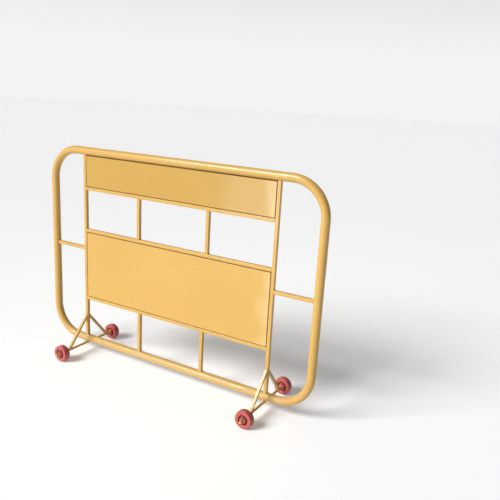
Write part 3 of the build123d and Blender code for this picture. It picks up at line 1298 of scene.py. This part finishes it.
@dataclass
class Foot:
    """One cross rod and its two sloping legs, with the welds that hold them."""

    side: Side
    loop: TubeLoop
    bead: Bead = Bead(radius=2.1 * MM)
    leg_corner: float = 1.5 * MM
    foot_bead_length: float = 22 * MM
    foot_bead_past: float = 1.0 * MM     # how far it runs past the leg's end
    foot_bead_rise: float = 1.2 * MM     # of its middle above the leg's lowest edge
    foot_bead_share: float = 0.92        # of its middle's distance from the rod's, in rod radii
    rail_bead: Bead = Bead(radius=2.7 * MM)
    rail_bead_reach: float = 9.5 * MM    # each way from the middle of the rail
    rail_bead_points: int = 24
    rail_bead_out: float = 4.6 * MM      # of its middle from the middle of the rod
    rail_bead_drop: float = 0.6 * MM     # of its middle below the rail's underside
    x: float = field(init=False)
    rod_radius: float = field(init=False)

    def __post_init__(self) -> None:
        """Reads the rod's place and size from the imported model."""
        middle, half = middle_and_half(f"axle_rod_{self.side.label}")
        self.x, self.rod_radius = middle.x, half.z

    def leg_top(self, end: End) -> Skin:
        """The bead round the top of a leg, where it meets the face of the upright.

        The sloping bar meets the upright's face in a rectangle as wide as the bar, and as
        tall as the bar's side divided by the share of its slope that runs front to back.

        Args:
            end: front or rear.

        Returns:
            The bead's skin.
        """
        low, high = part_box(f"{end.label}_{self.side.label}_leg")
        inner_y = high.y if end is End.FRONT else low.y
        width = high.x - low.x
        reach, rise = high.y - low.y, high.z - low.z
        tall = width * math.hypot(reach, rise) / reach
        outline = rounded_square(width, tall, self.leg_corner)
        section = spaced(outline, self.bead.step, True)
        path = np.insert(section + (self.x, high.z - tall / 2), 1, inner_y, axis=-1)
        middle = path.mean(axis=0)
        return self.bead.skin(path, lambda p: p - middle, True)

    def leg_foot(self, end: End) -> list[Skin]:
        """The two beads where a leg's foot sits on the rod, one on each side of it."""
        low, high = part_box(f"{end.label}_{self.side.label}_leg")
        outer_y = low.y if end is End.FRONT else high.y
        reach = np.array([self.foot_bead_past, -self.foot_bead_length])
        skins = []
        for across in (-1, 1):
            ends = np.zeros((2, 3))
            ends[:, 0] = self.x + across * self.rod_radius * self.foot_bead_share
            ends[:, 1] = outer_y + end.value * reach
            ends[:, 2] = low.z + self.foot_bead_rise
            skins.append(self.bead.skin(ends, (across, 0, 0), False))
        return skins

    def rod_to_rail(self) -> list[Skin]:
        """The two beads that fill the nooks between the rod and the rail above it."""
        y = np.linspace(-self.rail_bead_reach, self.rail_bead_reach, self.rail_bead_points)
        z = self.loop.bottom_z - np.sqrt(self.loop.radius**2 - y**2) - self.rail_bead_drop
        skins = []
        for across in (-1, 1):
            x = np.full(len(y), self.x + across * self.rail_bead_out)
            path = np.column_stack([x, y, z])
            skins.append(self.rail_bead.skin(path, (across, 0, 0), False))
        return skins

    def build(self, paint: bpy.types.Material) -> None:
        """Dresses the rod and legs in the feet's powder coat, and adds their beads."""
        beads = self.rod_to_rail()
        dress_node(f"axle_rod_{self.side.label}", paint)
        for end in End:
            dress_node(f"{end.label}_{self.side.label}_leg", paint)
            beads += [self.leg_top(end), *self.leg_foot(end)]
        Piece(f"foot_beads_{self.side.label}", merged(beads), paint, "foot_paint").add()


# ---------------------------------------------------------------------------------------
# The wheels
# ---------------------------------------------------------------------------------------


@dataclass
class WheelSet:
    """One moulded wheel with its bush, its two washers and its split pin."""

    side: Side
    end: End
    groove: float = 2.6 * MM
    groove_width: float = 4.2 * MM
    groove_offset: float = 9 * MM     # of the groove's middle from the wheel's
    shoulder: float = 5 * MM
    bevel: float = 0.29               # how far the shoulder's middle is cut back, as a share
    recess_radius: float = 22 * MM
    recess_depth: float = 8 * MM
    recess_draft: float = 1 * MM
    hub_radius: float = 15 * MM
    crown: float = 0.5 * MM           # how much lower the tread is at its shoulders
    flash: float = 0.18 * MM          # height of the moulding line round the tread
    flash_width: float = 0.5 * MM
    steps: int = 120
    ring_steps: int = 72              # in a full turn of a washer or the bush
    ring_knock: float = 0.3
    hub_gap: float = 1.0 * MM         # room between the two washers beyond the wheel's width
    bush_play: float = 0.05 * MM      # room between the bush and the rod
    wire: float = 0.78 * MM           # radius of one half of a split pin's wire
    eye_room: float = 1.15            # from the edge of the pin to its eye's line, in wires
    eye_swell: float = 1.12           # makes up for the curve's cutting of the corners
    rim: float = field(init=False)
    half: float = field(init=False)
    centre: Vector = field(init=False)
    rod_radius: float = field(init=False)

    def __post_init__(self) -> None:
        """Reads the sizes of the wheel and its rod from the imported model."""
        self.centre, half = middle_and_half(f"{self.place}_wheel")
        self.rim, self.half = half.z, half.y
        self.rod_radius = middle_and_half(f"axle_rod_{self.side.label}")[1].z

    @property
    def place(self) -> str:
        """The words that start the names of this wheel's nodes."""
        return f"{self.end.label}_{self.side.label}"

    def section(self) -> tuple[np.ndarray, np.ndarray, np.ndarray]:
        """The wheel's section, with where it is knocked and where it is darkened: painted shade in
        its groove, its recess and round its bore, and a little dirt on its edges.

        Corners of one half of the section are rounded off, and the other half mirrors it.
        The tread then sinks by crown times the square of its place across the wheel, and a
        narrow bell-shaped moulding line runs round its middle.

        Returns:
            The section's points (distance from the axis, place across), and the knock and
            grime_and_shade values at each.
        """
        half_groove = self.groove_width / 2
        bush_radius = middle_and_half(f"{self.place}_hub_bush")[1].z
        floor = self.half - self.recess_depth
        sunk = self.rim - self.groove
        cut = self.bevel * self.shoulder
        rows = [  # distance from the axis, place across, rounding, knock, grime_and_shade (dirt and painted shade)
            (self.rim, 0.4 * MM, 0.15 * MM, 0.5, 0.0),
            (self.rim, 1.4 * MM, 0.4 * MM, 0.4, 0.0),
            (self.rim, self.groove_offset - half_groove, 0.9 * MM, 0.7, 0.1),
            (sunk, self.groove_offset - half_groove / 2, 0.5 * MM, 0.0, 1.0),
            (sunk, self.groove_offset + half_groove / 2, 0.5 * MM, 0.0, 1.0),
            (self.rim, self.groove_offset + half_groove, 0.25 * MM, 0.8, 0.2),
            (self.rim, self.half - self.shoulder, 0.2 * MM, 0.8, 0.0),
            (self.rim - cut, self.half - cut, 1.4 * MM, 1.0, 0.0),
            (self.rim - self.shoulder, self.half, 3.2 * MM, 0.7, 0.0),
            (self.recess_radius + 0.6 * self.shoulder, self.half, 1.0 * MM, 0.3, 0.0),
            (self.recess_radius, self.half - 0.25 * self.shoulder, 1.2 * MM, 0.5, 0.2),
            (self.recess_radius - self.recess_draft, floor, 1.2 * MM, 0.0, 1.0),
            (self.hub_radius + self.recess_draft, floor, 1.2 * MM, 0.0, 1.0),
            (self.hub_radius, self.half, 1.3 * MM, 0.7, 0.1),
            (bush_radius, self.half, 0.6 * MM, 0.3, 0.6),
        ]
        upper = np.array(rows)
        corners = np.concatenate([upper, upper[::-1] * (1, -1, 1, 1, 1)])
        outline = softened(corners[:, :2], corners[:, 2])
        knock, grime_and_shade = np.repeat(corners[:, 3:], CURVE_POINTS, axis=0).T

        out, across = outline.T
        tread = np.clip((out - self.recess_radius) / (self.rim - self.recess_radius), 0, 1)
        ridge = np.exp(-((across / self.flash_width) ** 2))
        sink = self.crown * (across / self.half) ** 2 + self.flash * (1 - ridge)
        return np.column_stack([out - tread * sink, across]), knock, grime_and_shade

    def ring(self, low: Vector, high: Vector, bore: float, soft: float, grime_and_shade: float) -> Skin:
        """A turned ring with softened edges.

        Args:
            low: lowest corner of its box.
            high: highest corner of its box.
            bore: radius of its hole.
            soft: how far from a corner its rounding starts.
            grime_and_shade: gathered dirt all over it.

        Returns:
            The skin.
        """
        outer, half = (high.z - low.z) / 2, (high.y - low.y) / 2
        corners = np.array([(bore, -half), (outer, -half), (outer, half), (bore, half)])
        middle = (low + high) / 2
        return turned(softened(corners, soft), middle, self.ring_steps, self.ring_knock, grime_and_shade)

    def washer_skin(self) -> Skin:
        """Both washers, one on each side of the wheel's hub.

        Returns:
            The skin.
        """
        low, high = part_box(f"{self.place}_washers")
        thickness = (high.y - low.y - 2 * self.half - self.hub_gap) / 2
        rings = []
        for near, far in ((low.y, low.y + thickness), (high.y - thickness, high.y)):
            corners = Vector((low.x, near, low.z)), Vector((high.x, far, high.z))
            rings.append(self.ring(*corners, self.rod_radius, soft=0.4 * MM, grime_and_shade=0.15))
        return merged(rings)

    def pin_skin(self) -> Skin:
        """The split pin: one wire down through the rod, round its eye and down again.

        Its middle line is a smooth curve steered by a few points, mirrored left to right: a
        splayed tip, the two straight halves side by side, and a round eye on top.

        Returns:
            The skin.
        """
        low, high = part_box(f"{self.place}_split_pin")
        middle = (low + high) / 2
        room = self.wire * self.eye_room
        eye_radius = (high.x - low.x) / 2 - room
        leave = self.rod_radius
        halves = np.array([  # distance from the pin's middle, height above the rod's
            (5.4 * MM, -leave - 5.2 * MM),
            (3.6 * MM, -leave - 4.3 * MM),
            (1.5 * MM, -leave - 2.2 * MM),
            (self.wire, -leave),
            (self.wire, -leave / 2),
            (self.wire, leave / 2),
            (self.wire, leave),
            (self.wire * 1.1, leave + 2 * MM),
        ])
        angle = np.radians(np.arange(-52, 90, 28.4))
        eye = np.column_stack([np.cos(angle), np.sin(angle)]) * eye_radius * self.eye_swell
        eye_z = high.z - eye_radius - room
        right = np.concatenate([halves + (0, self.centre.z), eye + (0, eye_z)])
        flat = np.concatenate([right, right[::-1] * (-1, 1)])
        path = spline(np.insert(flat + (middle.x, 0), 1, middle.y, axis=-1), 7)
        across = np.broadcast_to((0.0, 1.0, 0.0), path.shape)
        return ring_skin(swept(path, across, circle(self.wire, 12), False), False, 0.3, 0.1)

    def build(self, red: bpy.types.Material, plastic: bpy.types.Material,
              zinc: bpy.types.Material) -> None:
        """Adds the wheel and what holds it on.

        Args:
            red: finish of the wheel and the washers.
            plastic: finish of the bush.
            zinc: finish of the split pin.
        """
        turning = f"{self.place}_wheel_set"
        outline, knock, grime_and_shade = self.section()
        wheel = turned(outline, self.centre, self.steps, knock, grime_and_shade)
        bore = self.rod_radius + self.bush_play
        bush = self.ring(*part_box(f"{self.place}_hub_bush"), bore, soft=0.5 * MM, grime_and_shade=0.2)
        pin = self.pin_skin()
        for name, skin, finish, slot, body, node in (
            ("wheel_moulding", wheel, red, "wheel_red", turning, "wheel"),
            ("bush", bush, plastic, "bush_plastic", turning, "hub_bush"),
            ("washer_pair", self.washer_skin(), red, "wheel_red", FRAME_BODY, "washers"),
            ("split_pin_wire", pin, zinc, "zinc", FRAME_BODY, "split_pin"),
        ):
            Piece(f"{self.place}_{name}", skin, finish, slot, body, (f"{self.place}_{node}",)).add()


# ---------------------------------------------------------------------------------------
# The studio
# ---------------------------------------------------------------------------------------


@dataclass(frozen=True)
class SoftLight:
    """A square soft light that looks at a point on the barrier."""

    name: str
    place: tuple[float, float, float]
    target: tuple[float, float, float]
    size: float
    watts: float
    shine: float = 1.0        # how strongly it shows in glossy surfaces

    def add(self) -> None:
        """Adds the light to the scene."""
        data = bpy.data.lights.new(self.name, "AREA")
        data.shape = "SQUARE"
        data.size = self.size
        data.energy = self.watts
        data.specular_factor = self.shine
        made = in_scene(self.name, data)
        made.location = self.place
        made.rotation_euler = facing(Vector(self.target) - Vector(self.place))


@dataclass(frozen=True)
class Studio:
    """Pale, flat, round floor, a pale surround, soft lights, and the camera."""

    floor_radius: float = 60.0
    floor_rings: int = 14
    floor_spokes: int = 96
    horizon: float = 0.90               # brightness of the surround, low down
    zenith: float = 0.10                # and overhead
    dark_side: float = 0.80             # share of it lost to the right, where the tent is open
    camera_place: tuple[float, float, float] = (1.5424, -2.0520, 1.3201)
    camera_azimuth: float = 28.98       # degrees that it stands to the right of straight ahead
    camera_fall: float = 14.73          # degrees that it looks down
    camera_roll: float = 3.42           # degrees
    lens: float = 41.78                 # mm, on a sensor of the width below
    sensor: float = 36.0
    sky_from: tuple[float, float, float] = (-0.42, -0.70, 0.58)   # where broad light comes from
    sky_strength: float = 3.75
    sky_spread: float = 27.0            # degrees across
    lights: tuple[SoftLight, ...] = (
        SoftLight("low_front", (-0.75, -2.5, 0.55), (0.45, 0, 0.7), 0.9, 9, shine=0.35),
        SoftLight("overhead", (-0.2, 0.3, 3.2), (0, 0, 0.4), 2.2, 9),
    )

    def floor(self) -> None:
        """Adds the floor: a flat disc of rings that grow wider outwards."""
        away = self.floor_radius * np.linspace(0, 1, self.floor_rings) ** 2
        flat = away[:, None, None] * circle(1.0, self.floor_spokes)
        points = np.insert(flat, 2, 0.0, axis=-1).reshape(-1, 3)
        quads = grid_quads(self.floor_rings, self.floor_spokes, False, True)
        none = np.zeros(len(points))
        made = in_scene("floor", Skin(points, quads, none, none).mesh("floor"))
        made.data.materials.append(PaleFloor().material())

    def broad_light(self) -> None:
        """Adds the broad soft light that falls the same on everything."""
        data = bpy.data.lights.new("broad", "SUN")
        data.energy = self.sky_strength
        data.angle = math.radians(self.sky_spread)
        in_scene("broad", data).rotation_euler = facing(-Vector(self.sky_from))

    def world(self) -> None:
        """Surrounds the scene with a pale tent, brightest low down and open to the right."""
        world = bpy.data.worlds.new("studio")
        bpy.context.scene.world = world
        r = Recipe(world, "Generated")
        low_down = 1.0 - r.axis("Z").ramp(0.05, 0.55)
        open_side = r.axis("X").ramp(0.0, 0.8) * self.dark_side
        glow = (self.zenith + low_down * (self.horizon - self.zenith)) * (1.0 - open_side)
        white = (1.0, 1.0, 1.0, 1)
        background = r.node("ShaderNodeBackground", {}, {"Color": white, "Strength": glow})
        r.end(background, "ShaderNodeOutputWorld")

    def camera(self) -> None:
        """Adds the camera: turned to face the barrier, tipped down, then rolled."""
        data = bpy.data.cameras.new("camera")
        data.lens = self.lens
        data.sensor_width = self.sensor
        made = in_scene("camera", data)
        made.location = self.camera_place
        look = Euler((math.radians(90 - self.camera_fall), 0, math.radians(self.camera_azimuth)))
        roll = Euler((0, 0, math.radians(self.camera_roll)))
        made.rotation_euler = (look.to_matrix() @ roll.to_matrix()).to_euler()
        bpy.context.scene.camera = made

    def build(self) -> None:
        """Adds everything round the barrier."""
        self.floor()
        self.broad_light()
        self.world()
        self.camera()
        for light in self.lights:
            light.add()
        bpy.context.scene.view_settings.view_transform = "Standard"


def main() -> None:
    """Builds the barrier piece by piece, then the studio round it."""
    logging.basicConfig(level=logging.INFO, format="%(name)s %(message)s")
    loop_paint = PowderCoat("loop_powder_coat").material()
    grid_paint = PowderCoat("grid_powder_coat", chips=1.1).material()
    sheet_peel = {"peel_scale": 300.0, "peel_depth": 0.06 * MM}
    # The upper panel's paint is a darker copy: painted shade, standing in for the top rail's shadow
    # and the sky that it hides.
    painted_shade_tone = {"colour": (0.500, 0.300, 0.059, 1), "shade": (0.435, 0.252, 0.043, 1)}
    panel_paints = {
        "upper_panel": PowderCoat("upper_panel_powder_coat", fade=0.6, **sheet_peel, **painted_shade_tone),
        "lower_panel": PowderCoat("lower_panel_powder_coat", fade=0.4, **sheet_peel),
    }
    foot_paint = PowderCoat("foot_powder_coat", dust_top=0.26).material()
    zinc = DullSteel("zinc_plate", (0.36, 0.34, 0.32, 1), (0.20, 0.17, 0.15, 1)).material()
    steel = DullSteel("drawn_steel", (0.42, 0.41, 0.40, 1), (0.20, 0.18, 0.17, 1)).material()
    plastic = BearingPlastic("bush_plastic").material()

    loop = TubeLoop()
    loop.build(loop_paint, steel)
    BarGrid(loop).build(grid_paint)
    for name, coat in panel_paints.items():
        SheetPanel(name).build(coat.material())
    for side in Side:
        Foot(side, loop).build(foot_paint)
        for end in End:
            wheels = WheelSet(side, end)
            red = MouldedWheel(f"{wheels.place}_red", wheels.centre, wheels.rim).material()
            wheels.build(red, plastic, zinc)
    Studio().build()


if __name__ == "__main__":
    main()
